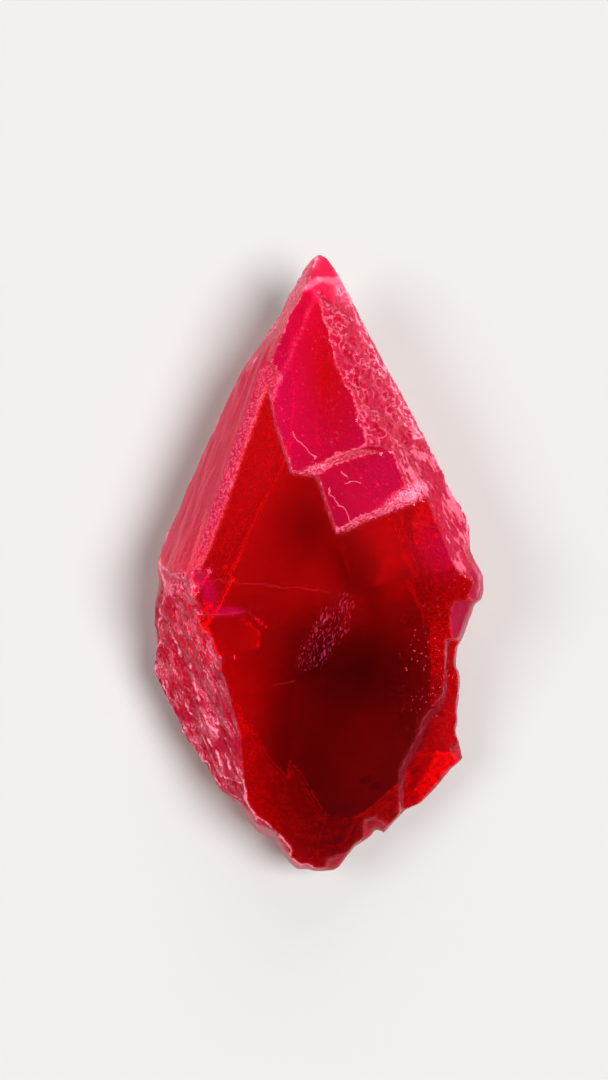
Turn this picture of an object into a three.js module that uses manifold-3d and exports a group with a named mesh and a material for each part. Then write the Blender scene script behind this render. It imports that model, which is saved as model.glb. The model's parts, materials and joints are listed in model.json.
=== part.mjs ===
// A pointed red crystal, broken off at its lower end, lying on its flat back.
// It is drawn as it is seen from its front: X to the right, Y towards the point, Z out of the
// front, in millimetres. Each face is given by three points that lie on it.
import * as THREE from "three";
import { mergeVertices } from "three/addons/utils/BufferGeometryUtils.js";
import { ImprovedNoise } from "three/addons/math/ImprovedNoise.js";
import Module from "manifold-3d";

const wasm = await Module();
wasm.setup();

// The rim, where front and back meet, clockwise from the point: X, Y and the rim's height Z.
const POINTED_END = [
  [-0.25, 30.95, 10.0],
  [0.3, 31.1, 9.9],
  [0.9, 30.9, 9.9],
];
const RIGHT_RIM = [
  [2.05, 29.2, 10.0],
  [3.55, 26.4, 9.9],
  [4.25, 24.9, 9.8],
  [7.3, 19.2, 9.7],
  [10.35, 13.6, 9.6],
  [11.35, 12.1, 9.6],
  [11.85, 11.3, 9.5],
  [12.85, 9.7, 9.4],
  [12.95, 8.1, 9.3],
  [13.85, 6.8, 9.2],
  [14.85, 5.6, 9.1],
  [15.25, 3.8, 9.0],
  [15.35, 1.6, 8.8],
  [16.05, 0.2, 8.6],
  [16.65, -1.0, 8.4],
  [16.75, -2.2, 8.2],
  [16.55, -3.3, 8.0],
  [15.85, -3.9, 7.8],
  [15.45, -5.1, 7.6],
  [15.05, -6.2, 7.3],
  [14.75, -7.2, 6.9],
  [14.15, -8.2, 6.4],
  [14.05, -10.2, 5.4],
  [14.45, -10.9, 5.1],
  [14.55, -12.2, 4.8],
  [14.25, -14.7, 4.5],
  [14.35, -15.8, 4.4],
  [14.05, -16.9, 4.3],
  [14.85, -19.0, 4.2],
  [14.85, -19.7, 4.2],
];
const BROKEN_END = [
  [13.75, -20.6, 4.0],
  [12.75, -21.9, 3.9],
  [10.75, -24.1, 3.8],
  [10.45, -24.3, 3.8],
  [8.95, -24.9, 3.8],
  [8.25, -25.7, 3.9],
  [6.75, -27.3, 4.0],
  [5.95, -26.8, 4.2],
  [5.65, -27.3, 4.2],
  [4.95, -27.9, 4.3],
  [3.85, -28.6, 4.4],
  [2.95, -29.7, 4.5],
  [2.25, -30.6, 4.6],
  [1.75, -31.0, 4.6],
  [-0.45, -31.1, 4.8],
  [-1.15, -30.8, 4.9],
  [-1.85, -30.9, 5.0],
  [-2.55, -30.5, 5.1],
  [-4.6, -27.8, 5.3],
  [-6.3, -26.9, 5.4],
  [-7.9, -24.4, 5.5],
  [-10.1, -22.5, 5.6],
  [-11.3, -20.2, 5.7],
  [-13.5, -18.7, 5.8],
  [-14.8, -16.2, 5.9],
];
const LEFT_RIM = [
  [-16.5, -13.9, 6.1],
  [-16.75, -9.9, 6.8],
  [-16.05, -7.5, 7.2],
  [-16.35, -5.9, 7.4],
  [-16.35, -3.6, 7.7],
  [-15.95, -1.8, 7.9],
  [-16.15, 0.3, 8.1],
  [-15.15, 3.3, 8.2],
  [-13.05, 8.3, 8.2],
  [-10.75, 13.3, 8.2],
  [-9.75, 15.6, 8.3],
  [-7.75, 19.5, 8.7],
  [-5.85, 22.1, 9.2],
  [-4.75, 23.7, 9.5],
  [-4.05, 24.6, 9.7],
  [-3.35, 26.0, 9.8],
  [-2.85, 27.1, 9.9],
  [-2.35, 27.8, 9.9],
  [-1.15, 29.9, 10.0],
];

// How far the broken walls lean in from the rim: heights, and the outline's share left there.
const WALL_CENTRE = [0, -2];
const BASE = { z: -1, share: 0.8 };
const SHOULDER = { z: 17, share: 0.86 };
const CROWN = { z: 24, share: 0.84 };

// The rough natural faces left on the front, from the point down to the widest place.
const LEFT_FACE = [
  [-9.05, 9.3, 13.9],
  [-12.75, -1.2, 15.1],
  [-13.05, 8.3, 8.3],
];
const RIGHT_FACE = [
  [-0.55, 27.6, 13.49],
  [4.95, 12.1, 16.24],
  [10.35, 13.6, 9.8],
];
const RIGHT_FACE_BELOW_LEDGE = [
  [-0.55, 27.6, 13.04],
  [4.95, 12.1, 15.79],
  [10.35, 13.6, 9.35],
];
const LEFT_FACE_FOOT = [
  [-9.05, 9.3, 13.3],
  [-12.75, -1.2, 14.5],
  [-13.05, 8.3, 7.7],
];
const LEFT_FACE_BEVEL = [
  [-9.05, 9.3, 13.9],
  [-12.75, -1.2, 15.1],
  [-8.1, 9.3, 14.5],
];
const CAP_FACE = [
  [-0.75, 27.8, 13.2],
  [1.55, 28.8, 10.6],
  [0.3, 31.1, 9.9],
];
const ROUGH_LOWER_LEFT = [
  [-12.15, -2.3, 15.6],
  [-8.55, -13.6, 13.87],
  [-16.4, -5.9, 8.2],
];

// The clear cleavage faces, from the highest plate down to the two that fall to the broken end.
const UPPER_PLATE = [
  [-4.95, 18.0, 14.1],
  [-2.55, 9.3, 15.55],
  [4.95, 12.1, 16.24],
];
const LOWER_PLATE = [
  [-0.05, 9.0, 15.5],
  [1.85, 3.5, 16.5],
  [8.95, 9.2, 13.9],
];
const WINDOW_LEFT = [
  [-11.05, 1.2, 15.5],
  [-5.35, 17.2, 13.6],
  [1.85, 3.5, 15.95],
];
const WINDOW_RIGHT = [
  [1.85, 3.5, 15.9],
  [3.45, -2.4, 16.87],
  [14.35, 1.9, 12.85],
];
const WINDOW_BELOW = [
  [-10.05, -0.8, 15.84],
  [1.75, -1.9, 16.7],
  [-0.75, -8.0, 16.2],
];
const DARK_FACE = [
  [3.45, -2.4, 16.81],
  [-0.75, -8.0, 16.2],
  [1.0, -31.0, 6.0],
];
const DARK_FACE_LEFT = [
  [-0.75, -8.0, 16.2],
  [-9.5, -8.4, 15.5],
  [-3.0, -20.0, 12.16],
];
const HATCHED_FACE = [
  [3.45, -2.4, 16.8],
  [-1.75, -7.9, 16.1],
  [0.9, -9.0, 15.1],
];
const LITTLE_LEDGE_FLOOR = [
  [-9.3, -4.75, 15.3],
  [-4.0, -6.5, 16.02],
  [-4.5, -8.5, 15.85],
];
const FLANGE = [
  [14.0, -8.0, 7.6],
  [9.5, -19.0, 5.7],
  [14.5, -19.0, 5.1],
];

// The back: a flat cleavage face to lie on, and the faces that rise from it to the rim.
const BACK_LEFT = [
  [-16.15, 0.3, 7.9],
  [-4.75, 23.7, 8.0],
  [-7.8, 0, 0],
];
const BACK_RIGHT = [
  [4.25, 24.9, 9.5],
  [15.25, 3.8, 9.0],
  [7.5, 0, 0],
];
const BACK_TOP = [
  [0.3, 31.1, 9.2],
  [-4.0, 12.6, 0],
  [4.0, 12.0, 0],
];
const BACK_LOWER_LEFT = [
  [-16.75, -9.9, 5.4],
  [-4.75, -27.9, 4.8],
  [-10.4, -8.0, 0],
];
const BACK_END = [
  [-1.0, -31.1, 3.9],
  [2.0, -31.1, 3.7],
  [0.5, -24.2, 0],
];
const BACK_LOWER_RIGHT = [
  [16.6, -3.0, 5.7],
  [14.8, -19.0, 3.3],
  [9.3, -2.0, 0],
];
const BACK_FLANGE = [
  [14.85, -19.7, 3.1],
  [8.25, -25.7, 3.0],
  [7.8, -20.4, 0],
];

// Ledges: the brow is the upper edge of the step, the foot its lower edge.
const LEDGE_BROW = [
  [-2.45, 9.5],
  [-0.9, 9.75],
  [0.7, 10.25],
  [2.65, 11.1],
  [4.95, 11.85],
  [7.55, 12.3],
  [9.8, 12.6],
  [10.8, 12.8],
];
const LEDGE_FOOT = [
  [-2.4, 9.2],
  [-1.2, 9.2],
  [0.0, 9.05],
  [2.0, 10.2],
  [4.6, 11.0],
  [7.9, 11.3],
  [9.9, 12.0],
  [11.0, 12.3],
];
const WINDOW_BROW = [
  [-5.0, 18.3],
  [-3.95, 13.6],
  [-2.5, 9.3],
  [-1.3, 9.35],
  [-0.1, 9.1],
  [0.3, 8.1],
  [0.95, 6.0],
  [1.8, 3.55],
  [2.6, 3.95],
  [4.45, 4.95],
  [6.3, 5.65],
  [7.9, 6.6],
  [9.3, 7.3],
  [10.6, 7.7],
];
const WINDOW_FOOT = [
  [-5.15, 18.2],
  [-4.15, 13.5],
  [-2.7, 9.1],
  [-1.3, 8.85],
  [-0.35, 8.6],
  [0.05, 7.9],
  [0.75, 5.7],
  [1.7, 3.1],
  [2.75, 3.35],
  [4.65, 4.3],
  [6.5, 5.0],
  [8.2, 5.7],
  [9.6, 6.2],
  [10.9, 6.6],
];
const FLANGE_BROW = [
  [15.5, -6.9],
  [12.75, -7.3],
  [12.6, -12.9],
  [11.85, -13.8],
  [10.75, -15.2],
  [9.85, -17.5],
  [9.15, -18.9],
  [8.35, -20.4],
  [8.25, -22.2],
  [8.35, -24.4],
];
const FLANGE_FOOT = [
  [15.6, -7.3],
  [13.2, -7.7],
  [13.05, -13.1],
  [12.4, -14.3],
  [11.4, -15.7],
  [10.5, -17.8],
  [9.8, -19.2],
  [9.0, -20.7],
  [8.8, -22.3],
  [8.75, -24.4],
];
// The left face stops short of the rough area below it, at a low broken step.
const FOOT_STEP = [
  [-17.5, 0.3],
  [-15.95, 0.15],
  [-14.35, -1.0],
  [-13.35, -1.4],
  [-12.75, -1.2],
  [-12.1, -2.2],
  [-12.0, -3.6],
  [-17.5, -3.6],
];
// A little ledge that runs in from the crest above the rough lower left.
const LITTLE_LEDGE = [
  [-11.8, -4.8],
  [-9.3, -4.75],
  [-6.9, -4.45],
  [-4.0, -6.5],
  [-4.5, -9.0],
  [-11.8, -9.0],
];
// The bevel between the left face and the window ends below the upper plate.
const BEVEL_REACH = [
  [-14.5, -3.2],
  [-10.5, -3.2],
  [-5.5, 11.0],
  [-3.6, 18.6],
  [-4.9, 20.4],
  [-9.5, 14.0],
];
const FAR = 45;

// Chips along the edges: a place on the edge, the way it faces, how deep and how long it is.
const CHIPS = [
  { at: [-11.2, -1.6, 16.0], faces: [-0.5, 0.3, 1], depth: 0.3, size: 2.6 },
  { at: [16.7, -1.6, 10.6], faces: [1, 0.2, 0.9], depth: 0.7, size: 4 },
  { at: [15.3, -5.4, 11.0], faces: [1, -0.4, 1.2], depth: 0.9, size: 4 },
  { at: [14.3, -9.0, 9.6], faces: [1, -0.2, 1], depth: 0.6, size: 3 },
  { at: [14.9, -19.4, 5.1], faces: [1, 0.6, 1.1], depth: 0.55, size: 2.6 },
  { at: [12.2, -22.5, 5.0], faces: [0.8, -0.8, 1.2], depth: 0.5, size: 4 },
  { at: [6.4, -27.2, 5.8], faces: [0.3, -0.9, 1.4], depth: 0.7, size: 3.4 },
  { at: [2.6, -30.3, 6.0], faces: [0.6, -0.9, 1.2], depth: 0.6, size: 3 },
  { at: [-2.2, -30.8, 8.4], faces: [-0.4, -1, 0.8], depth: 1.1, size: 4.4 },
  { at: [-5.6, -27.3, 9.8], faces: [-0.5, -0.8, 0.6], depth: 1.2, size: 5 },
  { at: [-9.0, -23.5, 8.6], faces: [-0.8, -0.5, 0.9], depth: 0.9, size: 4.6 },
  { at: [-14.0, -18.0, 6.3], faces: [-0.7, -0.6, 0.8], depth: 0.7, size: 4 },
  { at: [-16.9, -10.2, 5.4], faces: [-1, 0, -0.7], depth: 0.6, size: 4 },
  { at: [16.8, -1.8, 6.2], faces: [1, 0, -1], depth: 0.7, size: 4.5 },
  { at: [-12.2, -21.0, 3.6], faces: [-0.7, -0.7, -0.8], depth: 0.8, size: 5 },
  { at: [11.6, -23.4, 3.2], faces: [0.7, -0.7, -1], depth: 0.5, size: 4 },
];

// Relief of the rough faces: height, size of one ridge along and across the face, grid step.
const ETCHED = { height: 0.55, along: 1.5, across: 1.1, step: 0.62 };
const STRIATED = { height: 0.22, along: 9, across: 0.95, step: 0.6 };
const FIBROUS = { height: 0.6, along: 4.2, across: 1.15, step: 0.62 };
const WEATHERED = { height: 0.3, along: 4.5, across: 2.6, step: 1.35 };

const CRYSTAL_RED = 0xb4062a;
const noise = new ImprovedNoise();

// A closed geometry as a solid that can be joined and cut.
function solid(geometry) {
  const bare = geometry.clone();
  bare.deleteAttribute("normal");
  bare.deleteAttribute("uv");
  const merged = mergeVertices(bare, 1e-5);
  return new wasm.Manifold(
    new wasm.Mesh({
      numProp: 3,
      vertProperties: new Float32Array(merged.attributes.position.array),
      triVerts: new Uint32Array(merged.index.array),
    }),
  );
}

function geometryOf(made) {
  const { vertProperties, triVerts, numProp } = made.getMesh();
  const geometry = new THREE.BufferGeometry();
  const corners = new THREE.InterleavedBuffer(vertProperties, numProp);
  geometry.setAttribute("position", new THREE.InterleavedBufferAttribute(corners, 3, 0));
  geometry.setIndex(new THREE.BufferAttribute(triVerts, 1));
  const flat = geometry.toNonIndexed();
  flat.computeVertexNormals();
  return flat;
}

const point = (corner) => new THREE.Vector3(...corner);

// The upward normal of the face through three points.
function normalOf(face) {
  const [a, b, c] = face.map(point);
  const normal = b.sub(a).cross(c.sub(a)).normalize();
  return normal.z < 0 ? normal.negate() : normal;
}

// The height of a face over a place X, Y.
function heightOn(face, x, y) {
  const normal = normalOf(face);
  const [ax, ay, az] = face[0];
  return az - (normal.x * (x - ax) + normal.y * (y - ay)) / normal.z;
}

const lowest = (faces, x, y) => Math.min(...faces.map((face) => heightOn(face, x, y)));

// A block whose lower side lies on a face, with its middle over the first point of the face.
// The block faces away from the crystal: up for a front face, down for a back one.
function block(face, outward, { width = 120, length = 120, depth = 60, middle, relief } = {}) {
  const normal = normalOf(face).multiplyScalar(outward);
  const along = new THREE.Vector3(0, 1, 0).projectOnPlane(normal).normalize();
  const across = along.clone().cross(normal);
  const columns = relief ? Math.round(width / relief.step) : 1;
  const rows = relief ? Math.round(length / relief.step) : 1;
  const shape = new THREE.BoxGeometry(width, length, depth, columns, rows, 1);
  shape.translate(0, 0, depth / 2);
  if (relief) {
    roughen(shape, relief);
  }
  const [x, y] = middle ?? face[0];
  const place = new THREE.Vector3(x, y, heightOn(face, x, y));
  shape.applyMatrix4(new THREE.Matrix4().makeBasis(across, along, normal).setPosition(place));
  return solid(shape);
}

// Ridges and furrows on the side of a block that lies at height 0, fading out at its border.
function roughen(shape, { height, along, across, step }) {
  const corners = shape.attributes.position;
  shape.computeBoundingBox();
  const { x: halfWidth, y: halfLength } = shape.boundingBox.max;
  for (let i = 0; i < corners.count; i++) {
    const x = corners.getX(i);
    const y = corners.getY(i);
    const inside = Math.min(halfWidth - Math.abs(x), halfLength - Math.abs(y)) > step / 2;
    if (corners.getZ(i) === 0 && inside) {
      corners.setZ(i, height * ridges(x / across, y / along));
    }
  }
}

// Between -1 and 1: broad waves with sharper crests on them.
function ridges(u, v) {
  const waves = noise.noise(u * 0.5, v * 0.5, 3.7);
  const crests = 1 - 3 * Math.abs(noise.noise(u + 11.3, v + 5.9, 0.4));
  return THREE.MathUtils.clamp(0.6 * waves + 0.55 * crests, -1, 1);
}

// A closed body through rings of equally many points, lowest ring first.
function loft(rings) {
  const flat = rings[0].map(([x, y]) => new THREE.Vector2(x, y));
  if (THREE.ShapeUtils.isClockWise(flat)) {
    return loft(rings.map((ring) => ring.toReversed()));
  }
  const count = flat.length;
  const last = (rings.length - 1) * count;
  const faces = [];
  for (const [a, b, c] of THREE.ShapeUtils.triangulateShape(flat, [])) {
    faces.push([a, c, b], [a + last, b + last, c + last]);
  }
  for (let ring = 0; ring < last; ring += count) {
    for (let i = 0; i < count; i++) {
      const next = (i + 1) % count;
      faces.push([ring + i, ring + next, ring + count + next]);
      faces.push([ring + i, ring + count + next, ring + count + i]);
    }
  }
  const shape = new THREE.BufferGeometry();
  shape.setAttribute("position", new THREE.Float32BufferAttribute(rings.flat(2), 3));
  shape.setIndex(faces.flat());
  return solid(shape);
}

// The rough block that the faces are cut on, as wide as the crystal at its rim.
function blank() {
  const rim = [...POINTED_END, ...RIGHT_RIM, ...BROKEN_END, ...LEFT_RIM];
  const [cx, cy] = WALL_CENTRE;
  const level = ({ z, share }) =>
    rim.map(([x, y]) => [cx + (x - cx) * share, cy + (y - cy) * share, z]);
  return loft([level(BASE), rim, level(SHOULDER), level(CROWN)]);
}

// What is cut away beside a ledge: all that stands above the floors, out to the sloping step
// between its foot and its brow. The rest of its outline runs outside the crystal.
function terrace({ brow, foot, outside, upper, floors }) {
  const browLine = [...brow, ...outside];
  const footLine = [...foot, ...outside];
  const reach = loft([
    footLine.map(([x, y]) => [x, y, -FAR]),
    footLine.map(([x, y]) => [x, y, lowest(floors, x, y)]),
    browLine.map(([x, y]) => [x, y, lowest(upper, x, y) + 0.02]),
    browLine.map(([x, y]) => [x, y, 2 * FAR]),
  ]);
  const above = floors.map((face) => block(face, 1)).reduce((all, next) => all.add(next));
  return reach.intersect(above);
}

// What is cut away above a face, only within an outline.
function pocket(outline, face) {
  const reach = loft([
    outline.map(([x, y]) => [x, y, -FAR]),
    outline.map(([x, y]) => [x, y, FAR]),
  ]);
  return reach.intersect(block(face, 1));
}

function chip({ at, faces, depth, size }) {
  const normal = point(faces).normalize();
  const shape = new THREE.BoxGeometry(size, size, size);
  shape.translate(0, 0, size / 2 - depth);
  const turn = new THREE.Quaternion().setFromUnitVectors(new THREE.Vector3(0, 0, 1), normal);
  shape.applyQuaternion(turn);
  shape.translate(...at);
  return solid(shape);
}

// The clear front: plates, windows and the steps between them.
function frontCuts() {
  const rightOutside = [
    [FAR, 14],
    [FAR, -FAR],
    [-FAR, -FAR],
  ];
  return [
    block(UPPER_PLATE, 1),
    block(CAP_FACE, 1),
    block(WINDOW_BELOW, 1),
    block(DARK_FACE, 1),
    block(DARK_FACE_LEFT, 1),
    block(HATCHED_FACE, 1),
    pocket(LITTLE_LEDGE, LITTLE_LEDGE_FLOOR),
    terrace({
      brow: LEDGE_BROW,
      foot: LEDGE_FOOT,
      outside: [...rightOutside, [-FAR, 9.3]],
      upper: [UPPER_PLATE, RIGHT_FACE],
      floors: [LOWER_PLATE, RIGHT_FACE_BELOW_LEDGE],
    }),
    terrace({
      brow: WINDOW_BROW,
      foot: WINDOW_FOOT,
      outside: [...rightOutside, [-FAR, 18.3]],
      upper: [UPPER_PLATE, LOWER_PLATE, RIGHT_FACE_BELOW_LEDGE],
      floors: [WINDOW_LEFT, WINDOW_RIGHT],
    }),
    terrace({
      brow: FLANGE_BROW,
      foot: FLANGE_FOOT,
      outside: [
        [9.2, -FAR],
        [FAR, -FAR],
        [FAR, -7.2],
      ],
      upper: [DARK_FACE],
      floors: [FLANGE],
    }),
  ];
}

// The rough faces: each is cut once flat and clear of its relief, then once with its relief.
function roughCuts() {
  return [
    block(LEFT_FACE, 1, { width: 14, length: 40, depth: 14, middle: [-9.6, 11], relief: STRIATED }),
    block(RIGHT_FACE, 1, { width: 17, length: 44, depth: 14, middle: [7.8, 14], relief: ETCHED }),
    block(ROUGH_LOWER_LEFT, 1, {
      width: 20,
      length: 34,
      depth: 14,
      middle: [-13.2, -13],
      relief: FIBROUS,
    }),
    pocket(BEVEL_REACH, LEFT_FACE_BEVEL),
    pocket(FOOT_STEP, LEFT_FACE_FOOT),
  ];
}

function backCuts() {
  const natural = { width: 22, length: 46, depth: 14, relief: WEATHERED };
  return [
    block(BACK_LEFT, -1, { ...natural, middle: [-9.5, 11] }),
    block(BACK_RIGHT, -1, { ...natural, middle: [9, 12] }),
    block(BACK_TOP, -1),
    block(BACK_LOWER_LEFT, -1, { ...natural, middle: [-10.5, -18], length: 34 }),
    block(BACK_END, -1),
    block(BACK_LOWER_RIGHT, -1),
    block(BACK_FLANGE, -1),
  ];
}

const UNDERSIDE = [
  [0, 0, 0],
  [1, 0, 0],
  [0, 1, 0],
];

function crystalShape() {
  const cuts = [
    block(UNDERSIDE, -1),
    ...frontCuts(),
    ...roughCuts(),
    ...backCuts(),
    ...CHIPS.map(chip),
  ];
  return cuts.reduce((crystal, cut) => crystal.subtract(cut), blank());
}

// The finished shape, with its frame's origin under the middle of its box.
function crystal() {
  const shape = geometryOf(crystalShape());
  shape.computeBoundingBox();
  const middle = shape.boundingBox.getCenter(new THREE.Vector3());
  shape.translate(-middle.x, -middle.y, -shape.boundingBox.min.z);
  const material = new THREE.MeshStandardMaterial({
    color: CRYSTAL_RED,
    roughness: 0.25,
    metalness: 0,
  });
  const mesh = new THREE.Mesh(shape, material);
  mesh.name = "crystal";
  return mesh;
}

const stone = new THREE.Group();
stone.add(crystal());

export default stone;
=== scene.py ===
"""Looks of a loose red crystal that lies on its flat back, seen from above.

Everything is in metres, in the model's own frame: X to the right and Y towards the crystal's
point, as its front is seen, and Z up out of the front.
"""

import json
import math

import bpy
import numpy as np
from mathutils import Euler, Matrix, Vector

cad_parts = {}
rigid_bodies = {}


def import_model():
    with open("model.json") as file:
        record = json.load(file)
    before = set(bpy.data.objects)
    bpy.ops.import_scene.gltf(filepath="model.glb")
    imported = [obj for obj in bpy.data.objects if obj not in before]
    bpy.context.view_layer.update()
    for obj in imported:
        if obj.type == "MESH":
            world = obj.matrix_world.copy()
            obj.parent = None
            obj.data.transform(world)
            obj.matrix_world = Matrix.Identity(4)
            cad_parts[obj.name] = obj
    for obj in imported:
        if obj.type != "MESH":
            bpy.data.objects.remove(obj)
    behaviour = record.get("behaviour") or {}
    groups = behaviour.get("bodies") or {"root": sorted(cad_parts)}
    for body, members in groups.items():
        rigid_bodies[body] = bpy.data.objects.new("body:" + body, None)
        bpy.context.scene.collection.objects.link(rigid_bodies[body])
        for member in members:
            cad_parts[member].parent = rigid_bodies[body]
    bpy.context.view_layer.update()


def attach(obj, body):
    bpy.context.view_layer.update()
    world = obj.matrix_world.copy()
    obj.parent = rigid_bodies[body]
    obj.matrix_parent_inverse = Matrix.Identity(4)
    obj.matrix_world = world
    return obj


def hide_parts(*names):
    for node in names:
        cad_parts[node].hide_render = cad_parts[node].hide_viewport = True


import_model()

MM = 0.001

# The crystal was drawn in millimetres before its box was centred. The places below are
# written as drawn, and this is the middle of the box there.
DRAWN_CENTRE = np.array([0.11485, 0.0, 0.0])

# Three points on each face of the crystal.
CLEAR_FACES = {
    "upper_plate": [(-4.95, 18.0, 14.1), (-2.55, 9.3, 15.55), (4.95, 12.1, 16.24)],
    "lower_plate": [(-0.05, 9.0, 15.5), (1.85, 3.5, 16.5), (8.95, 9.2, 13.9)],
    "window_left": [(-11.05, 1.2, 15.5), (-5.35, 17.2, 13.6), (1.85, 3.5, 15.95)],
    "window_right": [(1.85, 3.5, 15.9), (3.45, -2.4, 16.87), (14.35, 1.9, 12.85)],
    "window_below": [(-10.05, -0.8, 15.84), (1.75, -1.9, 16.7), (-0.75, -8.0, 16.2)],
    "dark_face": [(3.45, -2.4, 16.81), (-0.75, -8.0, 16.2), (1.0, -31.0, 6.0)],
    "dark_face_left": [(-0.75, -8.0, 16.2), (-9.5, -8.4, 15.5), (-3.0, -20.0, 12.16)],
    "little_ledge": [(-9.3, -4.75, 15.3), (-4.0, -6.5, 16.02), (-4.5, -8.5, 15.85)],
    "flange": [(14.0, -8.0, 7.6), (9.5, -19.0, 5.7), (14.5, -19.0, 5.1)],
    "cap_face": [(-0.75, 27.8, 13.2), (1.55, 28.8, 10.6), (0.3, 31.1, 9.9)],
}
HATCHED_FACE = [(3.45, -2.4, 16.8), (-1.75, -7.9, 16.1), (0.9, -9.0, 15.1)]
LEFT_FACE = [(-9.05, 9.3, 13.9), (-12.75, -1.2, 15.1), (-13.05, 8.3, 8.3)]
LEFT_BEVEL = [(-9.05, 9.3, 13.9), (-12.75, -1.2, 15.1), (-8.1, 9.3, 14.5)]
RIGHT_FACE = [(-0.55, 27.6, 13.49), (4.95, 12.1, 16.24), (10.35, 13.6, 9.8)]
ROUGH_LOWER_LEFT = [(-12.15, -2.3, 15.6), (-8.55, -13.6, 13.87), (-16.4, -5.9, 8.2)]

# How near a face's plane a place has to be to lie on the face. The natural faces are uneven
# and the right one is broken down in steps, so theirs reach further.
ON_CLEAR_FACE = 0.04
ON_BEVEL = 0.03
ON_LEFT_FACE = 0.45
ON_RIGHT_FACE = 0.95
ON_LOWER_LEFT = 0.75

# Where faces and other places end along the crystal, as values of Y.
LEFT_FACE_END = -3.2
LEFT_FACE_BY_PLATES = 17.0
RIGHT_FACE_END = -1.5
FIBROUS_BELOW = 11.5
LOWER_LEFT_START = 0.6
HATCHING_END = -11.0
LEDGES_END = 2.4
PLATES_END = 2.8
# Painted highlight: where the pale band along the rim ends, and from where on the right the rims
# are painted pale as a highlight on frosted wear.
PAINTED_RIM_HIGHLIGHT_END = -3.0
RIGHT_RIM_WEAR_AND_HIGHLIGHT_START = 3.0

# Where they end on their left, and where the right face turns fibrous, as values of X.
RIGHT_FACE_SIDE = -1.5
FIBROUS_SIDE = 5.0
PLATES_SIDE = -6.0

# Heights: the lowest chips, the top of the rims and the foot of the front faces.
CHIPPED_ABOVE = 9.5
RIMS_BELOW = 11.5
FRONT_ABOVE = 12.0

# Relief on the rough places: ridged, or cloudy where nothing else is said. Height and grain
# are in millimetres and turns in degrees.
RIDGED = {"texture": "MUSGRAVE", "musgrave_type": "RIDGED_MULTIFRACTAL",
          "noise_basis": "IMPROVED_PERLIN", "octaves": 2.0, "lacunarity": 2.1,
          "offset": 1.0, "gain": 1.4, "noise_intensity": 0.8, "middle": 0.75}
RELIEF = {
    "right_face": {"height": 0.2, "grain": (0.6, 0.6, 0.6), "turn": (0, 45, 20), **RIDGED},
    "lower_left": {"height": 0.34, "grain": (0.5, 2.6, 0.5), "turn": (0, -50, 24), **RIDGED},
    "left_face": {"height": 0.10, "grain": (0.35, 6.0, 0.35), "turn": (0, -60, -20),
                  "noise_depth": 2},
    "ledges": {"height": 0.22, "grain": (0.4, 0.4, 0.4), "noise_depth": 2},
    "chipped": {"height": 0.16, "grain": (0.6, 0.6, 0.6), "noise_depth": 2},
    "hidden_sides": {"height": 0.2, "grain": (1.2, 1.2, 1.2), "noise_depth": 3},
    "edges": {"height": 0.14, "grain": (0.45, 0.45, 0.45), "noise_depth": 1, "middle": 0.75},
}

# Soft zones on the front: centre, reach across and along, turn in degrees, and how sharply they
# end. The zones of painted shade also say how much they darken: they paint shade into the clear
# crystal, darkest in its middle and its thick lower body.
PAINTED_SHADE_ZONES = (
    ((4.0, -17.5), (9.6, 14.0), 0, 3, 0.56),
    ((3.6, -9.0), (9.0, 4.6), -20, 1, 0.4),
    ((3.4, -0.6), (1.6, 3.0), 20, 1, 0.45),
    ((-0.6, 3.0), (4.2, 5.4), 0, 1, 0.42),
    ((-2.5, -24.0), (5.0, 8.0), 20, 1, 0.3),
    ((-6.2, -5.5), (5.0, 6.5), 0, 1, 0.18),
    ((1.5, -29.0), (5.5, 4.0), 0, 1, 0.3),
    ((9.5, -3.4), (4.4, 3.4), -20, 1, 0.42),
)
DARK_SPOTS = (
    ((12.3, -12.4), (0.8, 0.7)),
    ((9.8, -20.4), (0.6, 0.9)),
    ((4.8, -21.4), (0.7, 0.5)),
    ((5.3, -26.0), (0.6, 0.6)),
    ((12.6, -15.0), (0.5, 0.4)),
)
# Painted glow: where the thin red film makes the clear crystal look lit from within, behind the
# window and on the flange.
PAINTED_GLOW_BEHIND_WINDOW = ((-5.0, 12.5), (2.6, 8.0), -18)
PAINTED_GLOW_ON_FLANGE = ((13.2, -16.5), (2.2, 5.0))
# Painted sheen: magenta on the clear faces at the right and the left, and on the top of the
# little ledge.
MAGENTA_SHEEN_RIGHT = ((12.3, 1.8), (2.2, 2.6))
MAGENTA_SHEEN_LEFT = ((-10.7, -2.4), (0.8, 1.8), 15)
MAGENTA_SHEEN_ON_LEDGE = ((-8.6, -4.4), (1.6, 0.5), 0, 2)
PLATE_CORE = ((0.9, 18.8), (2.4, 6.8), 8)
SPECKED_LOW = ((11.0, -10.0), (3.4, 6.5))
SPECKED_SIDE = ((15.5, -1.5), (2.5, 3.5))
HATCHED_PATCH = ((0.9, -6.5), (1.7, 4.8), -31, 2)
SPLINTER = ((8.7, 7.0), (2.3, 0.75), 30, 2)
CAP_SIDE = ((2.5, 27.4), (1.1, 1.5), 25, 2)

# Thin marks on the front, from one place to another.
CAP_RIDGE = (
    ((-0.75, 27.9), (0.6, 28.8)),
    ((0.6, 28.8), (2.3, 28.9)),
)
SCRATCHES = (
    ((-2.05, 13.6), (0.25, 11.1)),
    ((1.55, 8.1), (4.0, 4.4)),
    ((3.4, 8.9), (4.6, 8.6)),
    ((2.6, 9.6), (3.4, 9.3)),
)
SEAMS = (
    ((-10.0, -0.8), (1.75, -1.9)),
    ((10.0, 4.8), (12.3, 4.3)),
    ((-3.9, -11.2), (-1.7, -10.7)),
)

# How thickly each rough place is frosted all over, from 0 to 1.
FROSTED = {
    "right_face": 0.28,
    "left_face": 0.32,
    "bevel": 0.3,
    "lower_left": 0.5,
    "ledges": 0.3,
    "splinter": 0.1,
    "chipped": 0.75,
    "cap": 0.7,
    "hidden_sides": 0.04,
}

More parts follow.
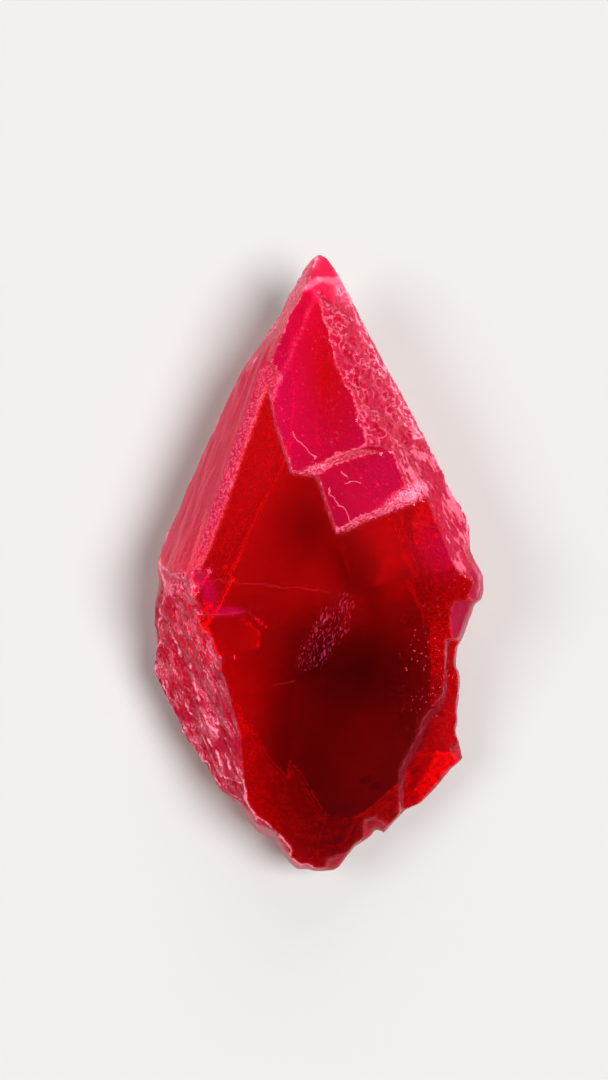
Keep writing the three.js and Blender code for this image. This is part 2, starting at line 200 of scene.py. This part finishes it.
# Tints of the thin frosting, before any paler marks lie over it. On the clear faces this thin red
# film is a painted glow, and a painted magenta sheen in places.
ROSE = (0.9, 0.0, 0.085)
WINDOW_GLOW_RED = (0.9, 0.0, 0.004)
MAGENTA_SHEEN = (0.95, 0.0, 0.11)
STREAKED_RED = (0.5, 0.0, 0.035)
CHIPPED_RED = (0.3, 0.0, 0.03)
CAP_RED = (0.7, 0.0, 0.05)
PLATE_RED = (0.95, 0.0, 0.1)
CORE_RED = (1.0, 0.0, 0.01)

# The palest frosting.
PALE_PINK = (1.0, 0.26, 0.38, 1)
PALE_VIOLET = (0.75, 0.2, 0.5, 1)

# Tints of the light that passes through the surface.
CLEAR_TINT = (1.0, 0.8, 0.85)
PLATE_TINT = (1.0, 0.6, 0.75)
ROUGH_TINT = (1.0, 0.02, 0.16)


def vertex_values(piece, name):
    """The places ("co") or normals ("normal") of a mesh's vertices, one row for each."""
    values = np.empty(len(piece.data.vertices) * 3)
    piece.data.vertices.foreach_get(name, values)
    return values.reshape(-1, 3)


def drawn(piece):
    """The places of a mesh's vertices in millimetres, as the crystal was drawn."""
    return vertex_values(piece, "co") / MM + DRAWN_CENTRE


def off_face(places, face):
    """How far each place stands out of the plane through a face's three points."""
    a, b, c = (np.array(corner) for corner in face)
    normal = np.cross(b - a, c - a)
    normal *= np.sign(normal[2]) / np.linalg.norm(normal)
    return (places - a) @ normal


def near_face(places, face, reach):
    """Whether each place is within reach of a face's plane, above or below it."""
    return np.abs(off_face(places, face)) < reach


def pick(piece):
    """Selects one piece alone and makes it the active one."""
    bpy.ops.object.select_all(action="DESELECT")
    piece.select_set(True)
    bpy.context.view_layer.objects.active = piece


def shape_with(piece, kind, **settings):
    """Adds a modifier to a piece and applies it."""
    pick(piece)
    modifier = piece.modifiers.new(kind.lower(), kind)
    for name, value in settings.items():
        setattr(modifier, name, value)
    bpy.ops.object.modifier_apply(modifier=modifier.name)


def paint_group(piece, name, weights):
    """Stores a weight from 0 to 1 for each vertex as a vertex group, in even steps."""
    group = piece.vertex_groups.new(name=name)
    finest = 32
    steps = np.rint(np.clip(weights, 0, 1) * finest).astype(int)
    for step in range(1, finest + 1):
        members = np.flatnonzero(steps == step)
        if len(members):
            group.add(members.tolist(), step / finest, "REPLACE")


def store_share(piece, name, weights):
    """Stores a value from 0 to 1 for each vertex, for the material to read."""
    layer = piece.data.attributes.new(name + "_share", "FLOAT", "POINT")
    layer.data.foreach_set("value", np.clip(weights, 0, 1))


def store_tint(piece, name, tint):
    """Stores a colour for each vertex, for the material to read."""
    layer = piece.data.attributes.new(name + "_tint", "FLOAT_COLOR", "POINT")
    layer.data.foreach_set("color", np.column_stack([tint, np.ones(len(tint))]).ravel())


def layered(ground, layers):
    """Tints laid over one another, each as thickly as its share."""
    for share, tint in layers:
        share = np.clip(share, 0, 1)[:, None]
        ground = ground * (1 - share) + np.array(tint) * share
    return ground


def smooth_steps(values, low, high):
    """0 below low, 1 above high, and smooth between."""
    share = np.clip((values - low) / (high - low), 0, 1)
    return share * share * (3 - 2 * share)


def edge_ends(piece):
    """The two vertices of each edge."""
    ends = np.empty(len(piece.data.edges) * 2, dtype=int)
    piece.data.edges.foreach_get("vertices", ends)
    return ends.reshape(-1, 2)


def spread(ends, inside, repeat):
    """The vertices inside a place as weights, evened out between neighbours."""
    weights = inside.astype(float)
    count = np.bincount(ends.ravel(), minlength=len(weights))
    for _ in range(repeat):
        total = np.bincount(ends[:, 0], weights[ends[:, 1]], minlength=len(weights))
        total += np.bincount(ends[:, 1], weights[ends[:, 0]], minlength=len(weights))
        weights = 0.5 * weights + 0.5 * total / np.maximum(count, 1)
    return weights


def standing_out(piece, ends):
    """How far each vertex stands out of its neighbours in millimetres: above 0 on edges,
    below 0 in corners."""
    places = vertex_values(piece, "co")
    total = np.zeros_like(places)
    count = np.zeros(len(places))
    for one, other in (ends.T, ends.T[::-1]):
        np.add.at(total, one, places[other])
        np.add.at(count, one, 1)
    middle = total / np.maximum(count, 1)[:, None]
    return ((places - middle) * vertex_values(piece, "normal")).sum(axis=1) / MM


def raise_relief(piece, group, height, grain, texture="CLOUDS", turn=(0, 0, 0),
                 middle=0.5, **settings):
    """Raises relief on a vertex group. The grain is the pattern's size along its own axes,
    which are turned from the model's."""
    pattern = bpy.data.textures.new(group, texture)
    pattern.noise_scale = 1.0
    for name, value in settings.items():
        setattr(pattern, name, value)
    axes = bpy.data.objects.new(group + "_grain", None)
    bpy.context.collection.objects.link(axes)
    axes.rotation_euler = Euler([math.radians(angle) for angle in turn])
    axes.scale = Vector(grain) * MM
    bpy.context.view_layer.update()
    shape_with(piece, "DISPLACE", texture=pattern, texture_coords="OBJECT",
               texture_coords_object=axes, vertex_group=group, strength=height * MM,
               mid_level=middle)
    bpy.data.objects.remove(axes)
    bpy.data.textures.remove(pattern)


def fine_copy(node):
    """A copy of the crystal's solid, merged and drawn anew in fine even faces."""
    solid = next(o for o in bpy.data.objects if o.name == node)
    piece = bpy.data.objects.new("crystal_skin", solid.data.copy())
    bpy.context.collection.objects.link(piece)
    pick(piece)
    bpy.ops.object.mode_set(mode="EDIT")
    bpy.ops.mesh.select_all(action="SELECT")
    bpy.ops.mesh.remove_doubles(threshold=0.0005 * MM)
    bpy.ops.object.mode_set(mode="OBJECT")
    shape_with(piece, "REMESH", mode="SHARP", octree_depth=8, scale=0.99, sharpness=1.0)
    shape_with(piece, "SHRINKWRAP", target=solid, wrap_method="NEAREST_SURFACEPOINT")
    return piece


def mark_places(piece):
    """How much of each kind of place each vertex is, worked out from where it lies. The
    places with relief also become vertex groups."""
    places = drawn(piece)
    x, y, z = places.T
    ends = edge_ends(piece)
    near = {name: near_face(places, face, ON_CLEAR_FACE)
            for name, face in CLEAR_FACES.items()}
    on_hatched_plane = near_face(places, HATCHED_FACE, ON_CLEAR_FACE)
    clear = np.any(list(near.values()), axis=0) | on_hatched_plane & (y < HATCHING_END)
    lying = z < ON_CLEAR_FACE
    # The front ends at the rim, which is level at the point and falls away further down.
    front = z > 8.6 - 0.004 * np.minimum(y - 10, 0) ** 2
    left = near_face(places, LEFT_FACE, ON_LEFT_FACE) & ~clear & (y > LEFT_FACE_END)
    bevel = near_face(places, LEFT_BEVEL, ON_BEVEL)
    right = ((off_face(places, RIGHT_FACE) > -ON_RIGHT_FACE) & ~clear & front
             & (x > RIGHT_FACE_SIDE) & (y > RIGHT_FACE_END))
    lower_left = (near_face(places, ROUGH_LOWER_LEFT, ON_LOWER_LEFT) & ~clear
                  & (y < LOWER_LEFT_START))
    hatched = near_face(places, HATCHED_FACE, ON_BEVEL) & (y > HATCHING_END)
    natural = left | bevel | right | lower_left | hatched
    broken = ~(clear | lying | natural) & (z > CHIPPED_ABOVE) & front
    ledges = broken & (y > LEDGES_END)
    hidden = ~(clear | lying | natural | broken)
    plates = near["upper_plate"] | near["lower_plate"]

    # Edges between two clear faces stay crisp, and so does the one along the bevel.
    beside = 0.15
    meeting = [near_face(places, face, beside) for face in CLEAR_FACES.values()]
    crisp = np.sum(meeting, axis=0) > 1
    crisp |= near_face(places, LEFT_FACE, 2 * beside) & near_face(places, LEFT_BEVEL, beside)
    edges = (standing_out(piece, ends) > 0.02) & ~crisp

    marks = {
        "left_face": left & ~bevel,
        "bevel": bevel,
        "right_face": right,
        "lower_left": lower_left,
        "ledges": ledges,
        "chipped": broken & ~ledges,
        "hidden_sides": hidden,
        "edges": edges,
        "plates": plates & (x > PLATES_SIDE) & (y > PLATES_END),
        "flange": near["flange"],
        "cap": near["cap_face"],
        "clear": clear & ~near["cap_face"],
    }
    shares = {name: spread(ends, inside, 2) for name, inside in marks.items()}
    for name in RELIEF:
        paint_group(piece, name, shares[name])
    paint_group(piece, "evened", spread(ends, left | bevel | right | lower_left | hidden, 2))
    beside_plates = ledges | right | (left & (y > LEFT_FACE_BY_PLATES))
    shares["frayed"] = 2 * spread(ends, beside_plates, 14)
    # Painted highlight: a pale band spread along the low edges of the rim.
    painted_highlight_edges = edges & (z < RIMS_BELOW) & (y > PAINTED_RIM_HIGHLIGHT_END)
    shares["painted_rim_highlight"] = 2 * spread(ends, painted_highlight_edges, 6)
    return shares


def soft_spot(places, centre, reach, turn=0, sharpness=1):
    """1 at a place on the front, fading to 0 over the reach across and along."""
    angle = math.radians(turn)
    across, along = (places[:, :2] - centre).T
    right = across * math.cos(angle) + along * math.sin(angle)
    ahead = along * math.cos(angle) - across * math.sin(angle)
    return np.exp(-((right / reach[0]) ** 2 + (ahead / reach[1]) ** 2) ** sharpness)


def soft_zones(piece):
    """Places that fade into each other, such as the painted shade where the body looks dark, and
    the painted glow and sheen on the clear faces.
    """
    places = drawn(piece)
    x, y, z = places.T
    front = z > FRONT_ABOVE
    # Painted shade: how much light the clear body keeps once the zones of painted shade have
    # darkened it.
    light = np.ones(len(places))
    for *zone, strength in PAINTED_SHADE_ZONES:
        light *= 1 - strength * soft_spot(places, *zone)
    # The left face widens downwards: 0 along its inner edge and 1 along the rim.
    across_left_face = (y * 0.327 - 11.4 - x) / (4.6 - 0.07 * y)
    return {
        "light": light,
        "spots": sum(soft_spot(places, *spot, 0, 2) for spot in DARK_SPOTS),
        # Painted glow behind the window and on the flange.
        "painted_glow": soft_spot(places, *PAINTED_GLOW_BEHIND_WINDOW)
        + soft_spot(places, *PAINTED_GLOW_ON_FLANGE),
        # Painted magenta sheen on the clear faces.
        "magenta_sheen_right": soft_spot(places, *MAGENTA_SHEEN_RIGHT),
        "magenta_sheen_left": front * (soft_spot(places, *MAGENTA_SHEEN_LEFT)
                                 + soft_spot(places, *MAGENTA_SHEEN_ON_LEDGE)),
        "core": soft_spot(places, *PLATE_CORE),
        "fibrous_part": (x > FIBROUS_SIDE) & (y < FIBROUS_BELOW),
        "dark_stripe": np.exp(-((across_left_face - 0.34) / 0.15) ** 2),
        "specked": soft_spot(places, *SPECKED_LOW) + 0.8 * soft_spot(places, *SPECKED_SIDE),
        "sparkle": front * soft_spot(places, *HATCHED_PATCH),
        # Where the rims are frosted by wear and painted pale as a highlight.
        "rim": (z < RIMS_BELOW) * ((x < 0) | (y > RIGHT_RIM_WEAR_AND_HIGHLIGHT_START)),
        "splinter": 1.6 * soft_spot(places, *SPLINTER),
        "cap_side": soft_spot(places, *CAP_SIDE),
    }


def store_looks(piece, place):
    """The values and tints the material reads, from the shares of the places."""
    clear, plates, ledges = place["clear"], place["plates"], place["ledges"]
    right_face, hidden = place["right_face"], place["hidden_sides"]
    light, magenta_sheen_left = place["light"], place["magenta_sheen_left"]
    raised = hidden * smooth_steps(place["lift"], -0.023, 0.114)
    rough = sum(place[name] for name in FROSTED)
    frosted = sum(thickness * place[name] for name, thickness in FROSTED.items())
    looks = {
        # On the clear faces the film is a painted glow. It is stronger where the painted shade
        # leaves the body light, and in the places of painted glow and painted magenta sheen.
        "film": frosted + 0.1 * plates + 0.2 * place["cap_side"] + 0.15 * raised
        + clear * (0.14 * light * light + 0.1 * place["painted_glow"] + 0.1 * magenta_sheen_left),
        "pale": 0.05 * ledges + 0.15 * place["cap_side"] + 0.1 * raised,
        "rough": rough,
        "crumbed": 0.4 * place["bevel"] + 0.85 * ledges + 0.7 * place["splinter"],
        "wormed": right_face * ~place["fibrous_part"] + 0.9 * hidden,
        "fibrous": right_face * place["fibrous_part"],
        "streaked": place["lower_left"],
        "banded": place["left_face"] * (1 - place["dark_stripe"]),
        "specked": clear * place["specked"] + 0.3 * plates,
        "rim": 0.15 + 0.85 * place["rim"],
    }
    for name in ("clear", "plates", "frayed", "painted_rim_highlight", "edges", "sparkle", "spots"):
        looks[name] = place[name]
    for name, weights in looks.items():
        store_share(piece, name, weights)
    store_tint(piece, "frosted", layered(np.array(ROSE), (
        # Painted glow: the thin red film on the clear faces.
        (clear, WINDOW_GLOW_RED),
        # Painted sheen: magenta on the clear faces in places.
        (clear * (place["magenta_sheen_right"] + magenta_sheen_left), MAGENTA_SHEEN),
        (place["lower_left"], STREAKED_RED),
        (place["chipped"], CHIPPED_RED),
        (place["cap"], CAP_RED),
        (plates, PLATE_RED),
        (plates * place["core"], CORE_RED),
    )))
    # The light through the clear and rough faces is darkened by the painted shade.
    store_tint(piece, "clear", layered(np.outer(light, CLEAR_TINT), (
        (plates + place["flange"], PLATE_TINT),
        (rough, np.outer(0.35 + 0.65 * light, ROUGH_TINT)),
    )))


def crystal_skin():
    """The crystal with the relief of its rough faces, in place of the plain solid."""
    skin = fine_copy("crystal")
    place = mark_places(skin)
    shape_with(skin, "SMOOTH", factor=0.5, iterations=12, vertex_group="evened")
    before = drawn(skin)
    for group, relief in RELIEF.items():
        raise_relief(skin, group, **relief)
    place["lift"] = ((drawn(skin) - before) * vertex_values(skin, "normal")).sum(axis=1)
    place.update(soft_zones(skin))
    skin.vertex_groups.clear()
    store_looks(skin, place)

    # The rough places are shaded smooth and the clear faces stay flat, as a cleavage is.
    pick(skin)
    bpy.ops.object.shade_smooth_by_angle(angle=math.radians(32))
    clear = skin.data.attributes["clear_share"].data
    for face in skin.data.polygons:
        if min(clear[corner].value for corner in face.vertices) > 0.6:
            face.use_smooth = False
    skin.data.materials.clear()
    skin.data.materials.append(red_crystal())
    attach(skin, "root")
    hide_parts("crystal")


class Socket:
    """A value between nodes, on which sums are written as ordinary expressions."""

    def __init__(self, pattern, socket):
        self.pattern = pattern
        self.socket = socket

    def _math(self, operation, one, other):
        return self.pattern.node("ShaderNodeMath", {"operation": operation}, [one, other])

    def __add__(self, other):
        return self._math("ADD", self, other)

    def __sub__(self, other):
        return self._math("SUBTRACT", self, other)

    def __rsub__(self, other):
        return self._math("SUBTRACT", other, self)

    def __mul__(self, other):
        return self._math("MULTIPLY", self, other)

    __radd__ = __add__
    __rmul__ = __mul__


class Pattern:
    """The nodes of a material or of the sky."""

    def __init__(self, owner):
        owner.use_nodes = True
        self.owner = owner
        self.tree = owner.node_tree
        self.tree.nodes.clear()

    def node(self, kind, settings=None, values=None, output=0):
        """Adds a node with its settings, and a value or a link for each socket in values.
        Gives the output to go on from, where the node has one."""
        made = self.tree.nodes.new(kind)
        for name, value in (settings or {}).items():
            setattr(made, name, value)
        entries = values.items() if isinstance(values, dict) else enumerate(values or [])
        for key, value in entries:
            if isinstance(value, Socket):
                self.tree.links.new(value.socket, made.inputs[key])
            else:
                made.inputs[key].default_value = value
        return Socket(self, made.outputs[output]) if made.outputs else None

    def share(self, name):
        return self.node("ShaderNodeAttribute", {"attribute_name": name + "_share"}, output="Fac")

    def tint(self, name):
        return self.node("ShaderNodeAttribute", {"attribute_name": name + "_tint"})

    def limit(self, value, low, high):
        return self.node("ShaderNodeClamp", None, [value, low, high])

    def steps(self, value, low, high):
        """0 below low, 1 above high, and smooth between."""
        return self.node("ShaderNodeMapRange", {"interpolation_type": "SMOOTHSTEP"},
                         [value, low, high])

    def blend(self, share, one, other):
        """From one colour to another. The node's colour sockets are its inputs 6 and 7."""
        return self.node("ShaderNodeMix", {"data_type": "RGBA"},
                         {"Factor": share, 6: one, 7: other}, output=2)

    def place(self, scale=(1, 1, 1), turn=(0, 0, 0)):
        """The place on the piece in millimetres, turned and then scaled."""
        spot = self.node("ShaderNodeTexCoord", output="Object")
        turned = self.node("ShaderNodeMapping", None,
                           {"Vector": spot, "Rotation": [math.radians(a) for a in turn]})
        return self.node("ShaderNodeMapping", None,
                         {"Vector": turned, "Scale": [s / MM for s in scale]})

    def noise(self, place, scale, detail=2.0):
        return self.node("ShaderNodeTexNoise", None,
                         {"Vector": place, "Scale": scale, "Detail": detail})

    def lines(self, noise, width):
        """Thin winding lines, where a noise passes its middle value."""
        away = self.node("ShaderNodeMath", {"operation": "ABSOLUTE"}, [noise - 0.5])
        return 1 - self.steps(away, width * 0.35, width)

    def stroke(self, place, start, end, width):
        """A thin mark from one drawn place on the front to another, in millimetres."""
        start = Vector(start) - Vector(DRAWN_CENTRE[:2])
        along = Vector(end) - Vector(DRAWN_CENTRE[:2]) - start
        flat = self.node("ShaderNodeVectorMath", {"operation": "MULTIPLY"}, [place, (1, 1, 0)])
        away = self.node("ShaderNodeVectorMath", {"operation": "SUBTRACT"},
                         [flat, (*start, 0)])
        ahead = self.node("ShaderNodeVectorMath", {"operation": "DOT_PRODUCT"},
                          [away, (*(along / along.length_squared), 0)], output="Value")
        reached = self.node("ShaderNodeVectorMath", {"operation": "SCALE"},
                            {0: (*along, 0), "Scale": self.limit(ahead, 0.0, 1.0)})
        distance = self.node("ShaderNodeVectorMath", {"operation": "DISTANCE"},
                             [away, reached], output="Value")
        return 1 - self.steps(distance, width * 0.3, width)

    def strokes(self, place, marks, width):
        return sum(self.stroke(place, start, end, width) for start, end in marks)


def red_crystal():
    """Clear deep red inside, frosted pink where the surface is etched, broken or worn. The rims
    have painted pale highlights, the clear faces have a painted glow and magenta sheen, and the
    body has painted shade.
    """
    m = Pattern(bpy.data.materials.new("red_crystal"))
    spot = m.place()
    wavering = m.node("ShaderNodeVectorMath", {"operation": "ADD"}, [spot, m.noise(spot, 0.8)])
    fine = m.noise(spot, 3.0)
    patches = m.noise(spot, 0.42, 1.0)
    ragged = fine * 1.1 + patches * 1.3 - 1.2
    dense = m.steps(patches, 0.4, 0.55)
    crumbly = m.steps(m.noise(spot, 5.5), 0.42, 0.62)
    threads = m.noise(m.place((3.4, 0.7, 3.4), (0, 0, -26)), 1.0, 3.0)
    fibres = m.steps(threads + patches * 1.5, 1.3, 1.37)
    grain = m.noise(m.place((3.2, 0.35, 1.4), (0, 0, 23)), 1.0, 3.0)
    hatching = m.noise(m.place((8.0, 2.2, 1.0), (0, 0, 16)), 1.0)
    plates = m.share("plates")
    sparkle = m.share("sparkle")

    crumbs = m.share("crumbed") * crumbly
    worms = (m.share("wormed") * m.lines(m.noise(spot, 1.1, 3.0), 0.04) * (0.25 + 0.75 * dense)
             + m.share("fibrous") * fibres)
    strands = (m.share("streaked") * (m.lines(threads, 0.025) + 0.3 * fibres)
               * (0.15 + 0.85 * dense) * (0.5 + 0.9 * crumbly))
    streaks = m.share("banded") * m.steps(grain, 0.42, 0.62)
    dashes = m.steps(hatching, 0.56, 0.64) * m.steps(sparkle + ragged * 0.6, 0.25, 0.7)
    specks = m.share("specked") * m.steps(m.noise(spot, 3.4, 1.0), 0.69, 0.73)
    frays = plates * fine * m.steps(m.share("frayed") + ragged, 0.62, 0.74)
    scratches = plates * m.strokes(wavering, SCRATCHES, 0.07)
    seams = m.share("clear") * m.strokes(wavering, SEAMS, 0.09)
    ridge = m.strokes(wavering, CAP_RIDGE, 0.5) * (0.3 + fine)
    # The rims are rough frosted wear along the edges, painted pale as a highlight.
    rims = m.steps(m.share("edges") * (fine + 0.5), 0.25, 0.6) * m.share("rim")

    # Each mark on the surface, how thickly it frosts the clear crystal and how pale it is.
    marks = (
        (crumbs, 0.68, 1.0),
        (worms, 0.3, 0.28 + 0.7 * fine),
        (strands, 0.45, 0.85),
        (streaks, 0.12, 0.5 * fine),
        (dashes, 0.25, 0.3),
        (specks, 0.5, 0.5),
        (frays, 0.5, 0.7),
        (scratches, 0.4, 0.6),
        (seams, 0.08, 0.1),
        (ridge, 0.45, 0.4),
        # Painted highlights: the pale rims, which lie on real frosted wear, and the pale band
        # along the rim.
        (rims, 0.5, 0.9),
        (m.share("painted_rim_highlight"), 0.25, 0.8 * fine),
    )
    film = m.limit(sum((mark * thickness for mark, thickness, _ in marks), m.share("film")),
                   0.0, 0.9)
    pale = m.limit(sum((mark * paleness for mark, _, paleness in marks), m.share("pale")),
                   0.0, 1.0)
    rough = m.limit(m.share("rough") + rims, 0.0, 1.0)
    murk = ((0.82 + 0.36 * m.noise(spot, 0.3))
            * (1 - 0.6 * m.steps(m.share("spots") + ragged, 0.4, 0.8)))

    grit = m.node("ShaderNodeBump", None,
                  {"Strength": 0.4 * rough, "Distance": 0.07 * MM, "Height": fine})
    clear = m.node("ShaderNodeBsdfPrincipled", None, {
        "Base Color": m.node("ShaderNodeVectorMath", {"operation": "SCALE"},
                             {0: m.tint("clear"), "Scale": murk}),
        "Roughness": 0.04 + 0.26 * rough,
        "IOR": 1.62,
        "Specular Tint": (1.0, 0.25, 0.35, 1),
        "Transmission Weight": 1.0,
        "Normal": grit,
    })
    frosted = m.node("ShaderNodeBsdfPrincipled", None, {
        "Base Color": m.blend(pale, m.tint("frosted"), m.blend(sparkle, PALE_PINK, PALE_VIOLET)),
        "Roughness": 0.5,
        "IOR": 1.62,
        "Specular IOR Level": 0.1,
        "Specular Tint": (1.0, 0.6, 0.7, 1),
        "Normal": grit,
    })
    m.node("ShaderNodeOutputMaterial", None, {
        "Surface": m.node("ShaderNodeMixShader", None, [film, clear, frosted]),
        "Volume": m.node("ShaderNodeVolumeAbsorption", None,
                         {"Color": (0.997, 0.0, 0.65, 1), "Density": 1500.0}),
    })
    return m.owner


def pale_floor():
    """A plain dull pale finish."""
    m = Pattern(bpy.data.materials.new("pale_floor"))
    m.node("ShaderNodeOutputMaterial", None, {
        "Surface": m.node("ShaderNodeBsdfPrincipled", None, {
            "Base Color": (0.5, 0.49, 0.48, 1),
            "Roughness": 0.9,
            "Specular IOR Level": 0.1,
        }),
    })
    return m.owner


def add_floor():
    """A wide floor just under the crystal."""
    bpy.ops.object.select_all(action="DESELECT")
    bpy.ops.mesh.primitive_circle_add(vertices=96, radius=3.0, fill_type="NGON",
                                      location=(0, 0, -0.12 * MM))
    floor = bpy.context.object
    floor.name = "floor"
    bpy.ops.object.transform_apply(location=True, rotation=True, scale=True)
    floor.data.materials.append(pale_floor())


def add_soft_light(name, azimuth, elevation, width, strength):
    """A wide even light from one side, with its angles in degrees. Azimuth 0 is to the right
    and 90 is past the crystal's point."""
    lamp = bpy.data.lights.new(name, "SUN")
    lamp.angle = math.radians(width)
    lamp.energy = strength
    stand = bpy.data.objects.new(name, lamp)
    bpy.context.collection.objects.link(stand)
    around, up = math.radians(azimuth), math.radians(elevation)
    stand.location = (math.cos(around) * math.cos(up), math.sin(around) * math.cos(up),
                      math.sin(up))
    stand.rotation_euler = (-stand.location).to_track_quat("-Z", "Y").to_euler()


def light_studio():
    """A pale horizon under a dim sky, and three soft lights that stand where no clear face
    mirrors them straight up into the camera."""
    world = bpy.data.worlds.new("studio")
    bpy.context.scene.world = world
    sky = Pattern(world)
    direction = sky.node("ShaderNodeTexCoord", output="Generated")
    up = sky.node("ShaderNodeSeparateXYZ", None, [direction], output="Z")
    rise = sky.node("ShaderNodeMapRange", None, [up, 0.05, 0.45])
    sky.node("ShaderNodeOutputWorld", None, {
        "Surface": sky.node("ShaderNodeBackground", None, {
            "Color": sky.blend(rise, (0.8, 0.8, 0.81, 1), (0.03, 0.03, 0.03, 1)),
            "Strength": 1.0,
        }),
    })
    add_soft_light("high", 0, 65, 30, 4.2)
    add_soft_light("left", 172, 50, 29, 1.35)
    add_soft_light("far", 90, 28, 40, 1.0)


def add_camera():
    """Straight above, framed as the photograph is: 0.1 mm of crystal to a pixel."""
    pixel = 0.1 * MM
    picture_height = 1080 * pixel
    crystal_middle = Vector((317.5, 566.0))
    picture_middle = Vector((304.0, 540.0))
    shift = (picture_middle - crystal_middle) * pixel
    height = 0.30
    rim_height = 9 * MM
    camera = bpy.data.cameras.new("camera")
    camera.sensor_width = 36
    camera.lens = 36 * (height - rim_height) / picture_height
    camera.clip_start = 0.01
    stand = bpy.data.objects.new("camera", camera)
    bpy.context.collection.objects.link(stand)
    stand.location = (shift.x - DRAWN_CENTRE[0] * MM, -shift.y, height)
    bpy.context.scene.camera = stand


add_camera()
light_studio()
add_floor()
crystal_skin()
bpy.context.scene.view_settings.view_transform = "Standard"
